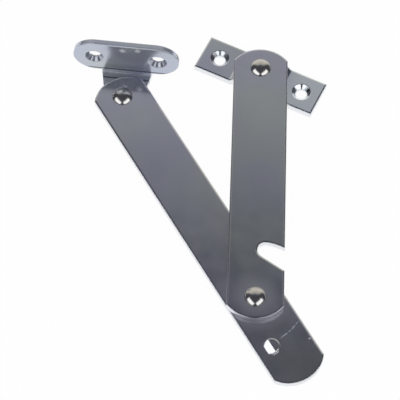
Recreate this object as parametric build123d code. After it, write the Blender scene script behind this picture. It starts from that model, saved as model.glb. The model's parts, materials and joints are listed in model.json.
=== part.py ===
"""Folding lid stay: a cranked wall plate, two riveted flat arms with a catch, and an angle bracket.

Millimetres, +Z up.  The origin is the middle of the wall plate's two screw holes, on the face that
lies against the cabinet side; +X runs along the plate and +Z points away from the cabinet side.
"""
import os
from math import cos, radians, sin, sqrt, tan

from build123d import *

# Sheet metal
arm_thickness = 2.5
plate_thickness = 2.5
bracket_thickness = 2.0
sheet_bend_radius = 1.0
die_roll_width = 0.5
die_roll_depth = 0.22
sheet_play = 0.05

# Arms
arm_width = 20.0
arm_end_reach = 8.2
arm_end_radius = 12.5
front_arm_centres = 95.0
rear_arm_centres = 96.8
finger_tab_length = 34.6

# How the stay lies: directions in degrees from +X
front_arm_direction = -65.7
rear_arm_direction = 146.1
bracket_bend_direction = 19.8

# Wall plate
plate_length = 48.0
plate_width = 14.6
plate_hole_spacing = 33.8
plate_crank_spacing = 12.8
plate_crank_height = 2.6
plate_crank_slope = 45.0

# Screw holes
screw_hole_diameter = 4.2
countersink_diameter = 7.0
countersink_angle = 90.0

# Rivets
rivet_shank_diameter = 4.0
rivet_running_clearance = 0.05
rivet_head_diameter = 7.6
rivet_head_height = 2.0
rivet_head_rim = 0.2
rivet_tail_diameter = 6.6
rivet_tail_flat_diameter = 5.0
rivet_tail_height = 1.2
bracket_rivet_tail_height = 0.4

# Catch: a nib lanced up from the rear arm drops into a notch in the front arm
catch_radius = 18.9
nib_diameter = 5.6
nib_height = 1.7
nib_ramp_length = 2.4
nib_rounding = 0.5
nib_offset_angle = 13.1
notch_width = 6.0
notch_offset_angle = 10.0
notch_flare_angle = 23.5

# Angle bracket
upstand_length = 39.4
upstand_height = 16.8
upstand_hole_spacing = 23.6
upstand_distance = 11.8
flange_width_at_bend = 19.4
flange_taper = 12.3

# Levels above the cabinet side
raised_underside = plate_crank_height
raised_top = raised_underside + plate_thickness
rear_arm_bottom = raised_top - arm_thickness
front_arm_bottom = raised_top + sheet_play
front_arm_top = front_arm_bottom + arm_thickness
flange_top = rear_arm_bottom - sheet_play
flange_bottom = flange_top - bracket_thickness
upstand_foot = flange_top + sheet_bend_radius


def polar(radius, angle):
    """The point at this radius and angle in degrees."""
    return (radius * cos(radians(angle)), radius * sin(radians(angle)))


pivot_x, pivot_y = polar(front_arm_centres, front_arm_direction)
end_x = pivot_x + polar(rear_arm_centres, rear_arm_direction)[0]
end_y = pivot_y + polar(rear_arm_centres, rear_arm_direction)[1]


def arm_blank(start, finish):
    """A strip along X from start to finish, with a shallow arc across each end."""
    half = arm_width / 2
    arc_depth = arm_end_radius - sqrt(arm_end_radius**2 - half**2)
    outline = [
        Line((start + arc_depth, half), (finish - arc_depth, half)),
        ThreePointArc((finish - arc_depth, half), (finish, 0), (finish - arc_depth, -half)),
        Line((finish - arc_depth, -half), (start + arc_depth, -half)),
        ThreePointArc((start + arc_depth, -half), (start, 0), (start + arc_depth, half)),
    ]
    return make_face(outline)


def catch_notch():
    """The notch that takes the nib, drawn with the pivot at the origin and the arm along -X."""
    radius = notch_width / 2
    beyond_edge = arm_width
    seat_angle = 180 - notch_offset_angle
    seat = Vector(*polar(catch_radius, seat_angle))
    outward = seat_angle - 90
    lip_direction = outward - notch_flare_angle
    far_start = seat + Vector(*polar(radius, seat_angle))
    inner_end = seat + Vector(*polar(radius, outward + 180))
    lip_start = seat + Vector(*polar(radius, lip_direction - 90))
    lip_finish = lip_start + Vector(*polar(beyond_edge, lip_direction))
    far_sweep = 60
    far_middle = polar(catch_radius + radius, seat_angle - far_sweep / 2)
    far_finish = polar(catch_radius + radius, seat_angle - far_sweep)
    outline = [
        ThreePointArc(far_start, inner_end, lip_start),
        Line(lip_start, lip_finish),
        Line(lip_finish, far_finish),
        ThreePointArc(far_finish, far_middle, far_start),
    ]
    return make_face(outline)


def roll_over(face, edges):
    """Ease these edges of a face as a punch leaves them: a wide and shallow slope round the sheet."""
    return chamfer(edges, die_roll_width, die_roll_depth, reference=face)


def make_front_arm():
    """The top arm, from the wall plate's rivet to the pivot, with the catch's notch in one edge."""
    blank = arm_blank(-arm_end_reach, front_arm_centres + arm_end_reach)
    blank -= Pos(front_arm_centres, 0) * catch_notch()
    sheet = extrude(blank, arm_thickness)
    top = sheet.faces().sort_by(Axis.Z)[-1]
    sheet = roll_over(top, top.edges())
    running_hole = Cylinder(rivet_shank_diameter / 2 + rivet_running_clearance, 4 * arm_thickness)
    pressed_hole = Cylinder(rivet_shank_diameter / 2, 4 * arm_thickness)
    sheet -= running_hole
    sheet -= Pos(front_arm_centres, 0, 0) * pressed_hole
    return Pos(0, 0, front_arm_bottom) * Rot(0, 0, front_arm_direction) * sheet


def raise_nib(sheet):
    """Lance a round nib up out of the sheet: level on one side, ramped down to a fold on the other."""
    slope = nib_height / nib_ramp_length
    margin = nib_diameter
    column = Cylinder(nib_diameter / 2, 4 * arm_thickness)

    def under_ramp(level):
        """All of the column below the nib's stepped and sloping surface, at this level of the sheet."""
        side_view = Polyline(
            (-margin, level - margin * slope),
            (-margin, level + nib_height),
            (0, level + nib_height),
            (nib_ramp_length + margin, level - margin * slope),
            close=True,
        )
        return column & extrude(Plane.YZ * make_face(side_view), margin, both=True)

    at = Pos(*polar(catch_radius, 180 - nib_offset_angle))
    above_pocket = Pos(0, 0, arm_thickness) * Box(
        2 * margin, 2 * margin, arm_thickness, align=(Align.CENTER, Align.CENTER, Align.MIN)
    )
    raised = under_ramp(arm_thickness) & Pos(0, 0, -nib_rounding) * above_pocket
    crown = raised.faces().sort_by(Axis.Z)[-1]
    rim = [edge for edge in crown.edges() if edge.geom_type == GeomType.CIRCLE]
    raised = fillet(rim, nib_rounding)
    return sheet - at * under_ramp(0) + at * raised


def make_rear_arm():
    """The under arm, from the finger tab past the pivot to the angle bracket's rivet."""
    blank = arm_blank(-finger_tab_length, rear_arm_centres + arm_end_reach)
    sheet = extrude(blank, arm_thickness)
    top = sheet.faces().sort_by(Axis.Z)[-1]
    sheet = roll_over(top, top.edges())
    sheet = raise_nib(sheet)
    sheet -= Cylinder(rivet_shank_diameter / 2 + rivet_running_clearance, 4 * arm_thickness)
    sheet -= Pos(rear_arm_centres, 0, 0) * Cylinder(rivet_shank_diameter / 2, 4 * arm_thickness)
    return Pos(pivot_x, pivot_y, rear_arm_bottom) * Rot(0, 0, rear_arm_direction) * sheet


def make_rivet(grip, tail_height):
    """A domed rivet through a stack this thick, its tail upset flat; z = 0 is under its head."""
    head = rivet_head_diameter / 2
    shank = rivet_shank_diameter / 2
    tail = rivet_tail_diameter / 2
    tail_flat = rivet_tail_flat_diameter / 2
    cap_height = rivet_head_height - rivet_head_rim
    cap_radius = (head**2 + cap_height**2) / (2 * cap_height)
    tail_end = -grip - tail_height
    outline = [
        Polyline((0, rivet_head_height), (0, tail_end), (tail_flat, tail_end), (tail, -grip)),
        Polyline((tail, -grip), (shank, -grip), (shank, 0), (head, 0), (head, rivet_head_rim)),
        RadiusArc((head, rivet_head_rim), (0, rivet_head_height), -cap_radius),
    ]
    return revolve(Plane.XZ * make_face(outline), Axis.Z)


def make_plate_rivet():
    """Holds the front arm on the wall plate's raised middle."""
    head_underside = front_arm_top + sheet_play
    rivet = make_rivet(head_underside - raised_underside, rivet_tail_height)
    return Pos(0, 0, head_underside) * rivet


def make_pivot_rivet():
    """Joins the two arms."""
    grip = front_arm_top - rear_arm_bottom + sheet_play
    rivet = make_rivet(grip, rivet_tail_height)
    return Pos(pivot_x, pivot_y, front_arm_top) * rivet


def make_bracket_rivet():
    """Holds the angle bracket under the end of the rear arm."""
    grip = raised_top - flange_bottom + sheet_play
    rivet = make_rivet(grip, bracket_rivet_tail_height)
    return Pos(end_x, end_y, raised_top) * rivet


def countersunk_hole(depth):
    """A screw hole down from z = 0, with its countersink opening at z = 0."""
    cone_height = countersink_diameter / 2 / tan(radians(countersink_angle / 2))
    hole = Pos(0, 0, -depth) * Cylinder(screw_hole_diameter / 2, 4 * depth)
    cone = Pos(0, 0, -cone_height / 2) * Cone(0, countersink_diameter / 2, cone_height)
    return hole + cone


def make_wall_plate():
    """A strip cranked up in the middle, with a countersunk screw hole in each foot."""
    middle = plate_thickness / 2
    run = plate_crank_height / tan(radians(plate_crank_slope))
    foot_bend = plate_crank_spacing / 2 + run
    sheet_middle = FilletPolyline(
        (-plate_length / 2, middle),
        (-foot_bend, middle),
        (-plate_crank_spacing / 2, middle + plate_crank_height),
        (plate_crank_spacing / 2, middle + plate_crank_height),
        (foot_bend, middle),
        (plate_length / 2, middle),
        radius=sheet_bend_radius + middle,
    )
    section = trace(sheet_middle, plate_thickness)
    strip = extrude(Plane.XZ * section, plate_width / 2, both=True)
    raised_face = strip.faces().sort_by(Axis.Z)[-1]
    strip = roll_over(raised_face, raised_face.edges().filter_by(Axis.X))
    for end in (0, -1):
        foot_end = strip.faces().sort_by(Axis.X)[end]
        end_edge = foot_end.edges().sort_by(Axis.Z)[-1]
        foot_face = strip.faces().filter_by(Axis.Z).sort_by_distance(end_edge)[0]
        strip = roll_over(foot_face, end_edge)
    for side in (-1, 1):
        hole = countersunk_hole(plate_thickness)
        strip -= Pos(side * plate_hole_spacing / 2, 0, plate_thickness) * hole
    strip -= Cylinder(rivet_shank_diameter / 2, 4 * raised_top)
    return strip


def make_angle_bracket():
    """A tapered flange under the rear arm, bent up into an obround plate for the lid."""
    half_sheet = bracket_thickness / 2
    upstand_middle = upstand_distance + half_sheet
    sheet_middle = FilletPolyline(
        (-flange_width_at_bend, flange_bottom + half_sheet),
        (upstand_middle, flange_bottom + half_sheet),
        (upstand_middle, upstand_foot + upstand_height),
        radius=sheet_bend_radius + half_sheet,
    )
    angle = extrude(Plane.YZ * trace(sheet_middle, bracket_thickness), upstand_length / 2, both=True)

    outer_face = upstand_distance + bracket_thickness
    half_width = flange_width_at_bend / 2
    taper = radians(flange_taper)
    lug_radius = (half_width - outer_face * tan(taper)) * cos(taper)
    tangent_x = lug_radius * cos(taper)
    tangent_y = -lug_radius * sin(taper)
    flange_outline = make_face(
        [
            Polyline(
                (tangent_x, tangent_y),
                (half_width, outer_face),
                (-half_width, outer_face),
                (-tangent_x, tangent_y),
            ),
            ThreePointArc((-tangent_x, tangent_y), (0, -lug_radius), (tangent_x, tangent_y)),
        ]
    )
    flange_zone = extrude(flange_outline, upstand_foot + half_sheet)
    upstand = extrude(SlotOverall(upstand_length, upstand_height), -bracket_thickness)
    screw_side = upstand.faces().sort_by(Axis.Z)[-1]
    upstand = roll_over(screw_side, screw_side.edges())
    to_upstand = Pos(0, upstand_distance, upstand_foot + upstand_height / 2) * Rot(90, 0, 0)
    bracket = angle & (flange_zone + to_upstand * upstand)

    for side in (-1, 1):
        hole = Pos(side * upstand_hole_spacing / 2, 0) * countersunk_hole(bracket_thickness)
        bracket -= to_upstand * hole
    bracket -= Cylinder(rivet_shank_diameter / 2 + rivet_running_clearance, 4 * raised_top)
    return Pos(end_x, end_y, 0) * Rot(0, 0, bracket_bend_direction) * bracket


makers = {
    "wall_plate": make_wall_plate,
    "front_arm": make_front_arm,
    "rear_arm": make_rear_arm,
    "angle_bracket": make_angle_bracket,
    "plate_rivet": make_plate_rivet,
    "pivot_rivet": make_pivot_rivet,
    "bracket_rivet": make_bracket_rivet,
}

if __name__ == "__main__":
    os.makedirs("parts", exist_ok=True)
    for name, make in makers.items():
        piece = make()
        piece.label = name
        export_step(piece, f"parts/{name}.step")
        print(name, round(piece.volume, 1), "cubic mm")
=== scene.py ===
# %% [markdown]
# # A folding lid stay in bright zinc plate
#
# The stay is two flat steel arms that fold on a rivet, a cranked plate for the cabinet side and
# an angle bracket for the lid.  Its solids are finished already, so this lesson is about metal:
# what plated sheet looks like, what it mirrors, and where handling has marked it.

# %% The frame
import json
from math import atan2, cos, degrees, pi, radians, sin

import bmesh
import bpy
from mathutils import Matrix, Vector


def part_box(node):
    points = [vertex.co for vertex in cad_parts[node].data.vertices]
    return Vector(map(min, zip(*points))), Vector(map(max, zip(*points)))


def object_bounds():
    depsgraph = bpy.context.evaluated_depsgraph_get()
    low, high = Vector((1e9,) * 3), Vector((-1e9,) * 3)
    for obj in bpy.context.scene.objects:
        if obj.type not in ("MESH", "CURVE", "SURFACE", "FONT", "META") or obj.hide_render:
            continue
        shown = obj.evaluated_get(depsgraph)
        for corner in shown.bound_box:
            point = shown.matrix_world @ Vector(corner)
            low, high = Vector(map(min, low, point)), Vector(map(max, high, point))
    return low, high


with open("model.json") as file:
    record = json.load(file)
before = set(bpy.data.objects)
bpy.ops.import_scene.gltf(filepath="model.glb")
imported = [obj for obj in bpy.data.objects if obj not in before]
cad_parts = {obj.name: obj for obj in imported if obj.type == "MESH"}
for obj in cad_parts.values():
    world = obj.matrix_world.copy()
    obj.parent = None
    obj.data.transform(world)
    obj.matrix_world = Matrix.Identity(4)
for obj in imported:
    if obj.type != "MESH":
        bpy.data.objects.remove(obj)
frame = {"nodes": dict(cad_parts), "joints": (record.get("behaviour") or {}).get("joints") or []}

MM = 0.001
cad_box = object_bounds()
ground = cad_box[0].z
middle = (cad_box[0] + cad_box[1]) / 2
print("pieces:", ", ".join(sorted(frame["nodes"])))
print("size in mm:", [round(side / MM, 1) for side in cad_box[1] - cad_box[0]])

# %% [markdown]
# ## Where the camera stands
#
# The stay lies flat and is seen from well above, from the side of the folded knee.  A long lens
# from 0.7 m keeps the arms nearly parallel to their plan, as a catalogue picture does.  The view
# is given as a distance and two angles round a point, which is easier to picture than a matrix.

# %% The camera
camera_distance = 695 * MM
camera_azimuth = radians(26.3)
camera_elevation = radians(61.0)
camera_lens = 172.4
framing_offset = Vector((0.1, -5.4, 0)) * MM

backward = Vector((
    sin(camera_azimuth) * cos(camera_elevation),
    -cos(camera_azimuth) * cos(camera_elevation),
    sin(camera_elevation),
))
target = Vector((middle.x, middle.y, ground)) + framing_offset
print("camera looks at, in mm:", [round(value / MM, 2) for value in target])

camera_data = bpy.data.cameras.new("camera")
camera_data.lens = camera_lens
camera_data.clip_start = 0.01
camera = bpy.data.objects.new("camera", camera_data)
camera.location = target + backward * camera_distance
camera.rotation_mode = "QUATERNION"
camera.rotation_quaternion = backward.to_track_quat("Z", "Y")
bpy.context.scene.collection.objects.link(camera)
bpy.context.scene.camera = camera
bpy.context.scene.view_settings.view_transform = "Standard"

# %% [markdown]
# ## Two helpers for materials
#
# A colour is written as a hex value, as a paint chart gives it, and turned to the linear light
# that a renderer adds up.  Every material is a small graph of nodes, so one helper adds a node,
# sets it up and links it.

# %% Colours and nodes
def to_linear(hex_colour):
    """The linear red, green, blue and alpha of an sRGB colour such as #b9bcc2."""
    parts = [int(hex_colour[start:start + 2], 16) / 255 for start in (1, 3, 5)]
    return [part / 12.92 if part <= 0.04045 else ((part + 0.055) / 1.055) ** 2.4 for part in parts] + [1.0]


def add_node(tree, kind, settings={}, inputs={}):
    """Add a node.  An input given as another node's output is linked, and any other is its value."""
    node = tree.nodes.new(kind)
    for name, value in settings.items():
        setattr(node, name, value)
    for name, value in inputs.items():
        if isinstance(value, bpy.types.NodeSocket):
            tree.links.new(value, node.inputs[name])
        else:
            node.inputs[name].default_value = value
    return node


def new_material(name):
    """An empty material, as its node tree, its shader and its object coordinates."""
    material = bpy.data.materials.new(name)
    material.use_nodes = True
    tree = material.node_tree
    shader = tree.nodes["Principled BSDF"]
    place = add_node(tree, "ShaderNodeTexCoord").outputs["Object"]
    return material, tree, shader, place


def per_mm(size):
    """The texture scale that makes a feature this many millimetres long."""
    return 1 / (size * MM)


print("white is", to_linear("#ffffff")[:3])

# %% [markdown]
# ## Bright zinc plate
#
# Zinc plate is a few thousandths of a millimetre of zinc on cold-rolled steel, passivated clear,
# which leaves it a cool grey with a faint drift between blue and green.  It mirrors its
# surroundings, but softly, because the rolled steel under it is not polished.  So the shader is
# a metal with a low roughness, and slow or fine patterns keep it from looking like chrome: a
# cloudy tint, patches of roughness, the long waves of a strip that was flattened from a coil and
# the fine lines that rolling leaves along it.  A Bevel node softens the mirrored edges the way
# tumbling in the plating barrel does.  Sizes are in millimetres.

# %% The plated sheet
cloud_size = 26
cloud_low = 0.35
cloud_high = 0.65
patch_size = 7
patch_low = 0.3
patch_high = 0.7
glossier = 0.02
duller = 0.04
wave_length = 38
wave_height = 0.10
rolling_line_length = 30
rolling_line_width = 0.35
rolling_line_height = 0.004
rolling_line_strength = 0.12
tumbled_radius = 0.5


def zinc_plate(name, cool_tint, warm_tint, roughness, grain_angle):
    """Bright zinc plate on rolled strip whose length runs at this angle from X."""
    material, tree, shader, place = new_material(name)
    clouds = add_node(tree, "ShaderNodeTexNoise", {}, {
        "Vector": place, "Scale": per_mm(cloud_size), "Detail": 2.0, "Roughness": 0.4})
    tint_share = add_node(tree, "ShaderNodeMapRange", {"interpolation_type": "SMOOTHSTEP"}, {
        "Value": clouds.outputs["Fac"], "From Min": cloud_low, "From Max": cloud_high})
    tint = add_node(tree, "ShaderNodeMix", {"data_type": "RGBA"}, {
        "Factor": tint_share.outputs["Result"], "A": to_linear(cool_tint), "B": to_linear(warm_tint)})
    patches = add_node(tree, "ShaderNodeTexNoise", {}, {
        "Vector": place, "Scale": per_mm(patch_size), "Detail": 3.0, "Roughness": 0.55})
    gloss = add_node(tree, "ShaderNodeMapRange", {}, {
        "Value": patches.outputs["Fac"], "From Min": patch_low, "From Max": patch_high,
        "To Min": roughness - glossier, "To Max": roughness + duller})
    softened = add_node(tree, "ShaderNodeBevel", {"samples": 6}, {"Radius": tumbled_radius * MM})
    waves = add_node(tree, "ShaderNodeTexNoise", {}, {
        "Vector": place, "Scale": per_mm(wave_length), "Detail": 0.0})
    wavy = add_node(tree, "ShaderNodeBump", {}, {
        "Distance": wave_height * MM, "Height": waves.outputs["Fac"], "Normal": softened.outputs["Normal"]})
    along_strip = add_node(tree, "ShaderNodeMapping", {"vector_type": "TEXTURE"}, {
        "Vector": place, "Rotation": (0, 0, radians(grain_angle)),
        "Scale": (rolling_line_length * MM, rolling_line_width * MM, rolling_line_width * MM)})
    lines = add_node(tree, "ShaderNodeTexNoise", {}, {
        "Vector": along_strip.outputs["Vector"], "Scale": 1.0, "Detail": 3.0, "Roughness": 0.6})
    rolled = add_node(tree, "ShaderNodeBump", {}, {
        "Strength": rolling_line_strength, "Distance": rolling_line_height * MM,
        "Height": lines.outputs["Fac"], "Normal": wavy.outputs["Normal"]})
    tree.links.new(tint.outputs["Result"], shader.inputs["Base Color"])
    tree.links.new(gloss.outputs["Result"], shader.inputs["Roughness"])
    tree.links.new(rolled.outputs["Normal"], shader.inputs["Normal"])
    shader.inputs["Metallic"].default_value = 1.0
    print("made", material.name)
    return material, tree, shader, place


# %% [markdown]
# ## Marks laid over a finish
#
# A sheared edge, a rubbed patch and a scratch are all the same idea: somewhere on the piece the
# metal has another colour and roughness.  So one helper mixes a mark over whatever the shader
# shows already, and each mark only has to say where it is, as a share from 0 to 1.

# %% Laying a mark over a finish
def lay_over(tree, shader, share, colour, roughness):
    """Show this colour and roughness where the share is 1, and what was there before where it is 0."""
    for name, kind, mark in (("Base Color", "RGBA", colour), ("Roughness", "FLOAT", roughness)):
        before = shader.inputs[name].links[0].from_socket
        mixed = add_node(tree, "ShaderNodeMix", {"data_type": kind}, {
            "Factor": share, "A": before, "B": mark})
        tree.links.new(mixed.outputs["Result"], shader.inputs[name])


def distance_from(tree, place, centre):
    """How far a point is from a vertical line through this centre, and the way it lies from it."""
    away = add_node(tree, "ShaderNodeVectorMath", {"operation": "SUBTRACT"}, {0: place, 1: centre})
    level = add_node(tree, "ShaderNodeVectorMath", {"operation": "MULTIPLY"}, {
        0: away.outputs["Vector"], 1: (1, 1, 0)})
    length = add_node(tree, "ShaderNodeVectorMath", {"operation": "LENGTH"}, {0: level.outputs["Vector"]})
    return length.outputs["Value"], level.outputs["Vector"]


# %% [markdown]
# ## Sheared walls
#
# The outline of each piece was punched, and the plating only follows the torn steel of the wall.
# The wall is therefore matt, and its pale colour is painted light: the light floor mirrored in
# the walls, painted into their colour.  Where the surface faces sideways the normal has hardly
# any height, which finds the walls of a flat piece.  The bracket's upstand faces sideways too,
# so its broad face is left out by its direction.  Both tests fade between two values, which are
# shares of the normal's length, so no hard line shows.

# %% Sheared walls
# Partly real, partly painted light: the roughness is the matt torn steel, and the pale colour is the light
# floor's reflection painted into the walls.
wall_colour_with_painted_light = to_linear("#eef0f4")
wall_roughness = 0.42
flat_from = 0.5
wall_below = 0.2
broad_from = 0.85
edge_below = 0.6


def shear_walls(tree, shader, broad_face=None):
    """Make the walls matt and paint them pale, a painted reflection of the light floor, leaving alone an
    upright broad face that looks this way.
    """
    facing = add_node(tree, "ShaderNodeTexCoord").outputs["Normal"]
    upward = add_node(tree, "ShaderNodeSeparateXYZ", {}, {0: facing}).outputs["Z"]
    flatness = add_node(tree, "ShaderNodeMath", {"operation": "ABSOLUTE"}, {0: upward}).outputs[0]
    share = add_node(tree, "ShaderNodeMapRange", {}, {
        "Value": flatness, "From Min": flat_from, "From Max": wall_below}).outputs["Result"]
    if broad_face:
        along = add_node(tree, "ShaderNodeVectorMath", {"operation": "DOT_PRODUCT"}, {
            0: facing, 1: broad_face}).outputs["Value"]
        squareness = add_node(tree, "ShaderNodeMath", {"operation": "ABSOLUTE"}, {0: along}).outputs[0]
        aside = add_node(tree, "ShaderNodeMapRange", {}, {
            "Value": squareness, "From Min": broad_from, "From Max": edge_below}).outputs["Result"]
        share = add_node(tree, "ShaderNodeMath", {"operation": "MULTIPLY"}, {0: share, 1: aside}).outputs[0]
    lay_over(tree, shader, share, wall_colour_with_painted_light, wall_roughness)


# %% [markdown]
# ## Dressing the pieces
#
# Each strip was cut along its length, so each piece gets the grain along its own direction.  The
# pivot and the bracket's rivet give those directions, because the joints stand on them.  Only
# the bracket's bend has no joint on it, so its direction is written down.  Each piece also has
# its own pair of tints, the plate's right foot gets a painted highlight that makes it a little
# brighter than its left, and the bracket is slightly hazy, which is a metal share below 1.  The
# rear arm's sheet is level with the plate's raised middle, which gives its top, because its own
# box ends above it at the nib.

# %% Where the pieces lie
joint_places = {joint["name"]: Vector(joint["pos_m"]) for joint in frame["joints"]}
pivot = joint_places["arm_fold"]
arm_end = joint_places["bracket_pivot"]
front_direction = degrees(atan2(pivot.y, pivot.x))
rear_direction = degrees(atan2(arm_end.y - pivot.y, arm_end.x - pivot.x))
rear_arm_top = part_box("wall_plate")[1].z
rear_arm_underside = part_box("rear_arm")[0].z
bend_direction = 19.8
bend_way = Vector((cos(radians(bend_direction)), sin(radians(bend_direction)), 0))
bracket_face = Vector((-bend_way.y, bend_way.x, 0))
print("front arm at", round(front_direction, 1), "and rear arm at", round(rear_direction, 1), "degrees")


def dress(node_name, material):
    """Give a piece its material in place of the plain one."""
    for slot in frame["nodes"][node_name].material_slots:
        slot.material = material
    print(node_name, "is now", material.name)


# %% The wall plate, the arms and the bracket
sheet_roughness = 0.14
bracket_roughness = 0.2
bracket_metal_share = 0.72
rivet_roughness = 0.17
foot_highlight_start = 2
foot_highlight_end = 16
plate, plate_tree, plate_shader, plate_place = zinc_plate(
    "zinc_plate_on_rolled_strip", "#c8cbd6", "#cbd1d1", sheet_roughness, 0)
# Painted highlight: the plate's right foot is made lighter in colour than its left, fading in from 2 to 16
# mm along X.
along_plate = add_node(plate_tree, "ShaderNodeSeparateXYZ", {}, {0: plate_place}).outputs["X"]
foot_painted_highlight = add_node(plate_tree, "ShaderNodeMapRange", {"interpolation_type": "SMOOTHSTEP"}, {
    "Value": along_plate, "From Min": foot_highlight_start * MM, "From Max": foot_highlight_end * MM})
lay_over(plate_tree, plate_shader, foot_painted_highlight.outputs["Result"], to_linear("#e6edf0"), sheet_roughness)
shear_walls(plate_tree, plate_shader)
dress("wall_plate", plate)

front, front_tree, front_shader, front_place = zinc_plate(
    "zinc_plate_on_front_arm", "#c3c3d1", "#c7ccca", sheet_roughness, front_direction)
dress("front_arm", front)

rear, rear_tree, rear_shader, rear_place = zinc_plate(
    "zinc_plate_on_rear_arm", "#cfd0db", "#d4d7d6", sheet_roughness, rear_direction)
dress("rear_arm", rear)

bracket, bracket_tree, bracket_shader, bracket_place = zinc_plate(
    "zinc_plate_on_pressed_bracket", "#bcc1d1", "#bec4c9", bracket_roughness, bend_direction)
shear_walls(bracket_tree, bracket_shader, bracket_face)
bracket_shader.inputs["Metallic"].default_value = bracket_metal_share
dress("angle_bracket", bracket)

rivet = zinc_plate("zinc_plate_on_cold_headed_rivet", "#c9c8c6", "#cfcbc4", rivet_roughness, 0)[0]
for node_name in ("plate_rivet", "pivot_rivet", "bracket_rivet"):
    dress(node_name, rivet)

# %% [markdown]
# ## Where handling has marked it
#
# Round the pivot the arms rub when the stay folds, and the plate there is duller.  The lip of
# the notch has scraped an arc on the rear arm, concentric with the pivot and broken where it
# lost touch, and one knock has left a nick near the edge of the finger tab.  A mark in an arc is
# drawn from its distance to the pivot and its direction from it.

# %% Rubbed round the pivot
rubbed_fade = 8
rubbed_colour = to_linear("#cccdd4")
rubbed_roughness = 0.24
rubbed_arms = (
    (front_tree, front_shader, front_place, 11),
    (rear_tree, rear_shader, rear_place, 15),
)
for tree, shader, place, rubbed_radius in rubbed_arms:
    reach = distance_from(tree, place, pivot)[0]
    rubbed = add_node(tree, "ShaderNodeMapRange", {"interpolation_type": "SMOOTHSTEP"}, {
        "Value": reach, "From Min": rubbed_radius * MM, "From Max": (rubbed_radius - rubbed_fade) * MM})
    lay_over(tree, shader, rubbed.outputs["Result"], rubbed_colour, rubbed_roughness)
    shear_walls(tree, shader)
    print("rubbed within", rubbed_radius, "mm of the pivot")

# %% The scraped arc
bare_colour = to_linear("#dfe6f4")
bare_roughness = 0.6
scrape_radius = 16.8
scrape_width = 0.55
scrape_middle = -18
scrape_half_angle = 14
scrape_break_size = 1.3
broken_below = 0.38
unbroken_from = 0.5
top_skin = 0.1

scrape_reach, scrape_way = distance_from(rear_tree, rear_place, pivot)
past_arc = add_node(rear_tree, "ShaderNodeMath", {"operation": "SUBTRACT"}, {
    0: scrape_reach, 1: scrape_radius * MM}).outputs[0]
off_arc = add_node(rear_tree, "ShaderNodeMath", {"operation": "ABSOLUTE"}, {0: past_arc}).outputs[0]
on_arc = add_node(rear_tree, "ShaderNodeMapRange", {}, {
    "Value": off_arc, "From Min": 0.5 * scrape_width * MM, "From Max": 0.2 * scrape_width * MM})
middle_way = (cos(radians(scrape_middle)), sin(radians(scrape_middle)), 0)
along_middle = add_node(rear_tree, "ShaderNodeVectorMath", {"operation": "DOT_PRODUCT"}, {
    0: scrape_way, 1: middle_way}).outputs["Value"]
within_ends = add_node(rear_tree, "ShaderNodeMath", {"operation": "GREATER_THAN"}, {
    0: along_middle, 1: scrape_radius * cos(radians(scrape_half_angle)) * MM}).outputs[0]
gaps = add_node(rear_tree, "ShaderNodeTexNoise", {}, {
    "Vector": rear_place, "Scale": per_mm(scrape_break_size), "Detail": 2.0})
unbroken = add_node(rear_tree, "ShaderNodeMapRange", {}, {
    "Value": gaps.outputs["Fac"], "From Min": broken_below, "From Max": unbroken_from})
rear_height = add_node(rear_tree, "ShaderNodeSeparateXYZ", {}, {0: rear_place}).outputs["Z"]
scraped = add_node(rear_tree, "ShaderNodeMath", {"operation": "GREATER_THAN"}, {
    0: rear_height, 1: rear_arm_top - top_skin * MM}).outputs[0]
for share in (on_arc.outputs["Result"], within_ends, unbroken.outputs["Result"]):
    scraped = add_node(rear_tree, "ShaderNodeMath", {"operation": "MULTIPLY"}, {
        0: scraped, 1: share}).outputs[0]
lay_over(rear_tree, rear_shader, scraped, bare_colour, bare_roughness)
print("scraped at", scrape_radius, "mm from the pivot")

# %% The nick
nick_size = 0.5
nick_along = -22.1
nick_across = -8.75
rear_along = Vector((cos(radians(rear_direction)), sin(radians(rear_direction)), 0))
rear_across = Vector((-rear_along.y, rear_along.x, 0))
nick_centre = pivot + (rear_along * nick_along + rear_across * nick_across) * MM
nick_reach = distance_from(rear_tree, rear_place, nick_centre)[0]
nicked = add_node(rear_tree, "ShaderNodeMapRange", {}, {
    "Value": nick_reach, "From Min": nick_size * MM, "From Max": 0.5 * nick_size * MM})
lay_over(rear_tree, rear_shader, nicked.outputs["Result"], bare_colour, bare_roughness)
print("nicked at, in mm:", [round(value / MM, 1) for value in nick_centre])

# %% [markdown]
# ## What the press left on the bracket
#
# Thin dark lines on both sides of the bend are painted shade: the dark that the bend mirrors,
# painted along its edges.  One is found by its distance out from the bracket's rivet, square to
# the bend, and the other by its height over the rear arm's underside.

# %% Painted shade beside the bend
bend_shade_out = 9.3
bend_shade_up = 2.1
bend_shade_width = 0.6
# Painted shade: a dark colour laid in thin lines along both edges of the bend.
painted_bend_shade_colour = to_linear("#474a58")
bend_shade_roughness = 0.2

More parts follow.
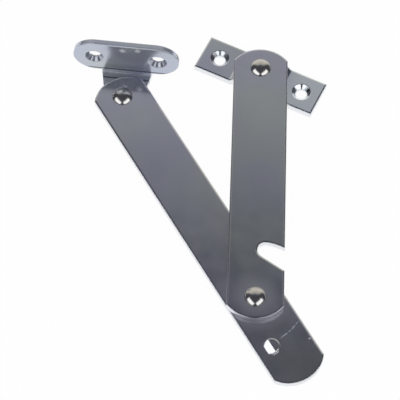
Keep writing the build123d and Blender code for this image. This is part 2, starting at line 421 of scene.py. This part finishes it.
from_rivet = add_node(bracket_tree, "ShaderNodeVectorMath", {"operation": "SUBTRACT"}, {
    0: bracket_place, 1: arm_end}).outputs["Vector"]
out_from_rivet = add_node(bracket_tree, "ShaderNodeVectorMath", {"operation": "DOT_PRODUCT"}, {
    0: from_rivet, 1: bracket_face}).outputs["Value"]
bracket_height = add_node(bracket_tree, "ShaderNodeSeparateXYZ", {}, {0: bracket_place}).outputs["Z"]
bend_shade_lines = (
    (out_from_rivet, bend_shade_out * MM),
    (bracket_height, rear_arm_underside + bend_shade_up * MM),
)
for measured, bend_shade_at in bend_shade_lines:
    past_bend_shade = add_node(bracket_tree, "ShaderNodeMath", {"operation": "SUBTRACT"}, {
        0: measured, 1: bend_shade_at}).outputs[0]
    off_bend_shade = add_node(bracket_tree, "ShaderNodeMath", {"operation": "ABSOLUTE"}, {
        0: past_bend_shade}).outputs[0]
    painted_bend_shade = add_node(bracket_tree, "ShaderNodeMapRange", {}, {
        "Value": off_bend_shade, "From Min": bend_shade_width * MM, "From Max": 0.0})
    lay_over(bracket_tree, bracket_shader, painted_bend_shade.outputs["Result"], painted_bend_shade_colour, bend_shade_roughness)
print("painted_bend_shade", len(bend_shade_lines), "times")

# %% [markdown]
# ## Countersinks and painted reflection spots
#
# The countersinks were cut after the bend and are sharper than the sheet round them.  Their
# cones are where the surface leans 45 degrees back from the screw side.  Two pale spots near the
# top are painted reflections: the rivet head's bright patches mirrored in the upstand, painted
# into its colour.  Each is placed along the bend from the rivet, and by its height.

# %% Countersinks
cone_lean = cos(radians(45))
cone_from = 0.12
cone_full = 0.05
cut_colour = to_linear("#a9adb8")
cut_roughness = 0.12

bracket_facing = add_node(bracket_tree, "ShaderNodeTexCoord").outputs["Normal"]
facing_share = add_node(bracket_tree, "ShaderNodeVectorMath", {"operation": "DOT_PRODUCT"}, {
    0: bracket_facing, 1: bracket_face}).outputs["Value"]
past_cone = add_node(bracket_tree, "ShaderNodeMath", {"operation": "ADD"}, {
    0: facing_share, 1: cone_lean}).outputs[0]
off_cone = add_node(bracket_tree, "ShaderNodeMath", {"operation": "ABSOLUTE"}, {0: past_cone}).outputs[0]
countersunk = add_node(bracket_tree, "ShaderNodeMapRange", {}, {
    "Value": off_cone, "From Min": cone_from, "From Max": cone_full})
lay_over(bracket_tree, bracket_shader, countersunk.outputs["Result"], cut_colour, cut_roughness)
print("countersinks cut bright")

# %% Painted reflection spots
spot_size = 1.7
spot_core = 0.34
spot_share = 0.8
# Painted reflections: two pale, matt spots on the upstand stand in for the rivet head's bright patches
# mirrored there.
painted_reflection_colour = to_linear("#f0f1f4")
painted_reflection_roughness = 0.6
screw_side_out = 11.8
painted_reflection_spots = ((-1.1, 17.4), (4.5, 18.2))
for along_bend, up in painted_reflection_spots:
    spot = arm_end + (bend_way * along_bend + bracket_face * screw_side_out) * MM
    spot.z = up * MM
    to_spot = add_node(bracket_tree, "ShaderNodeVectorMath", {"operation": "DISTANCE"}, {
        0: bracket_place, 1: spot}).outputs["Value"]
    painted_reflection_share = add_node(bracket_tree, "ShaderNodeMapRange", {"interpolation_type": "SMOOTHSTEP"}, {
        "Value": to_spot, "From Min": spot_size * MM, "From Max": spot_core * MM, "To Max": spot_share})
    lay_over(bracket_tree, bracket_shader, painted_reflection_share.outputs["Result"], painted_reflection_colour, painted_reflection_roughness)
    print("rack spot", up, "mm up")

# %% [markdown]
# ## Floor and studio
#
# Metal shows what stands round it more than its own colour.  This studio is a white floor, a
# warm pale wall behind and two soft boxes at the front corners, and it is dark at the sides,
# overhead and behind the camera.  The flat faces mirror the dark ceiling where it meets the pale
# wall, which is why the arms go from light at the far end to dark at the near one.

# %% The floor
floor_half = 3.0
floor_gap = 0.05 * MM
floor_mesh = bpy.data.meshes.new("floor")
floor_shape = bmesh.new()
bmesh.ops.create_grid(floor_shape, x_segments=1, y_segments=1, size=floor_half)
bmesh.ops.translate(floor_shape, verts=floor_shape.verts, vec=(0, 0, ground - floor_gap))
floor_shape.to_mesh(floor_mesh)
floor_shape.free()
floor = bpy.data.objects.new("floor", floor_mesh)
bpy.context.scene.collection.objects.link(floor)


def seen_directly(tree):
    """1 for rays that come from the camera, a mirror or glass, and 0 for rays that only carry light."""
    path = add_node(tree, "ShaderNodeLightPath")
    either = add_node(tree, "ShaderNodeMath", {"operation": "MAXIMUM"}, {
        0: path.outputs["Is Camera Ray"], 1: path.outputs["Is Glossy Ray"]})
    seen = add_node(tree, "ShaderNodeMath", {"operation": "MAXIMUM"}, {
        0: either.outputs[0], 1: path.outputs["Is Transmission Ray"]})
    return seen.outputs[0]


floor_glow = 0.97
paper, paper_tree, paper_shader, _ = new_material("white_paper_sweep")
paper_shader.inputs["Base Color"].default_value = to_linear("#fafafa")
paper_shader.inputs["Roughness"].default_value = 0.9
paper_shader.inputs["Specular IOR Level"].default_value = 0.0
glow = add_node(paper_tree, "ShaderNodeEmission", {}, {"Color": to_linear("#ffffff"), "Strength": 1.0})
glow_share = add_node(paper_tree, "ShaderNodeMath", {"operation": "MULTIPLY"}, {
    0: seen_directly(paper_tree), 1: floor_glow})
paper_mix = add_node(paper_tree, "ShaderNodeMixShader", {}, {
    0: glow_share.outputs[0], 1: paper_shader.outputs["BSDF"], 2: glow.outputs["Emission"]})
paper_tree.links.new(paper_mix.outputs[0], paper_tree.nodes["Material Output"].inputs["Surface"])
floor_mesh.materials.append(paper)
print("floor just under", round(ground / MM, 2), "mm")

# %% [markdown]
# ## The room
#
# The world stands for the room.  Its height is read from the direction of a ray, and a ramp
# turns that height into the tones of the back wall: pale low down and dark by the ceiling.  The
# top of the wall slopes a little, lighter to the right, so the lookup is leaned by that much.

# %% The room's back wall
lean_reach = 0.1
lean_rise = 0.008
room = bpy.data.worlds.new("room")
room.use_nodes = True
bpy.context.scene.world = room
room_tree = room.node_tree
direction = add_node(room_tree, "ShaderNodeTexCoord").outputs["Generated"]
toward_camera = Vector((backward.x, backward.y, 0)).normalized()
to_the_right = Vector((-toward_camera.y, toward_camera.x, 0))
height = add_node(room_tree, "ShaderNodeSeparateXYZ", {}, {0: direction}).outputs["Z"]
rightness = add_node(room_tree, "ShaderNodeVectorMath", {"operation": "DOT_PRODUCT"}, {
    0: direction, 1: to_the_right}).outputs["Value"]
lean = add_node(room_tree, "ShaderNodeMapRange", {}, {
    "Value": rightness, "From Min": -lean_reach, "From Max": lean_reach,
    "To Min": lean_rise, "To Max": -lean_rise})
leaned_height = add_node(room_tree, "ShaderNodeMath", {"operation": "ADD"}, {
    0: height, 1: lean.outputs["Result"]}).outputs[0]
wall = add_node(room_tree, "ShaderNodeValToRGB", {}, {0: leaned_height})
wall_tones = (
    (0.0, "#f0ebe2"),
    (0.50, "#e2ddd4"),
    (0.66, "#cdc9c1"),
    (0.78, "#bcbbba"),
    (0.845, "#a9abb1"),
    (0.86, "#999ba1"),
    (0.875, "#777980"),
    (0.89, "#5a5b62"),
    (0.905, "#56575f"),
    (0.92, "#5b5c64"),
    (1.0, "#565760"),
)
stops = wall.color_ramp.elements
while len(stops) < len(wall_tones):
    stops.new(0.5)
for stop, (where, colour) in zip(stops, wall_tones):
    stop.position = where
    stop.color = to_linear(colour)
print("back wall in", len(stops), "tones")

# %% [markdown]
# ## Who sees what
#
# Away from the back wall the room is unlit.  Mirrored rays see the room as it is.  Rays that only
# carry light get a plain grey instead, so that a matt colour is lit evenly and renders about as
# it is written, and the camera itself sees white.  Light Path tells the three kinds of ray apart.

# %% The unlit sides, the plain fill, and white where the camera looks
wall_ends_at = 150
unlit_from = 125
unlit_tone = to_linear("#4a4b53")
plain_fill = to_linear("#c6c6c8")
white = to_linear("#ffffff")

level_direction = add_node(room_tree, "ShaderNodeVectorMath", {"operation": "MULTIPLY"}, {
    0: direction, 1: (1, 1, 0)}).outputs["Vector"]
bearing_direction = add_node(room_tree, "ShaderNodeVectorMath", {"operation": "NORMALIZE"}, {
    0: level_direction}).outputs["Vector"]
frontness = add_node(room_tree, "ShaderNodeVectorMath", {"operation": "DOT_PRODUCT"}, {
    0: bearing_direction, 1: toward_camera}).outputs["Value"]
off_the_wall = add_node(room_tree, "ShaderNodeMapRange", {"interpolation_type": "SMOOTHSTEP"}, {
    "Value": frontness, "From Min": cos(radians(wall_ends_at)), "From Max": cos(radians(unlit_from))})
surroundings = add_node(room_tree, "ShaderNodeMix", {"data_type": "RGBA"}, {
    "Factor": off_the_wall.outputs["Result"], "A": wall.outputs["Color"], "B": unlit_tone})
ray = add_node(room_tree, "ShaderNodeLightPath")
mirrored = add_node(room_tree, "ShaderNodeMix", {"data_type": "RGBA"}, {
    "Factor": ray.outputs["Is Glossy Ray"], "A": plain_fill, "B": surroundings.outputs["Result"]})
backdrop = add_node(room_tree, "ShaderNodeMix", {"data_type": "RGBA"}, {
    "Factor": ray.outputs["Is Camera Ray"], "A": mirrored.outputs["Result"], "B": white})
room_light = room_tree.nodes["Background"]
room_tree.links.new(backdrop.outputs["Result"], room_light.inputs["Color"])
room_light.inputs["Strength"].default_value = 1.0
print("the back wall reaches", 180 - wall_ends_at, "degrees to each side")

# %% [markdown]
# ## Two soft boxes
#
# A soft box is an area light, and on metal its shape shows as well as its light.  The two stand
# at the front corners with a dark gap between them, the left one further round to the side.  They
# hang high enough that the flat arms do not mirror them when they are seen from low down behind.
# Distances are in metres, and a bearing is measured from the camera, to the right.

# %% Soft boxes at the front corners
box_distance = 1.4
box_tall = 0.8
box_height = 1.0
box_radiance = 1.55
soft_boxes = ((-54, 2.1), (48, 2.0))
for bearing_from_camera, box_width in soft_boxes:
    lamp = bpy.data.lights.new("soft_box", "AREA")
    lamp.shape = "RECTANGLE"
    lamp.size = box_width
    lamp.size_y = box_tall
    lamp.energy = box_radiance * pi * box_width * box_tall
    lamp_object = bpy.data.objects.new("soft_box", lamp)
    bearing = radians(bearing_from_camera)
    away = toward_camera * cos(bearing) + to_the_right * sin(bearing)
    lamp_object.location = target + away * box_distance + Vector((0, 0, box_height))
    lamp_object.rotation_mode = "QUATERNION"
    lamp_object.rotation_quaternion = (lamp_object.location - target).to_track_quat("Z", "Y")
    bpy.context.scene.collection.objects.link(lamp_object)
    print("soft box at", [round(value, 2) for value in lamp_object.location])
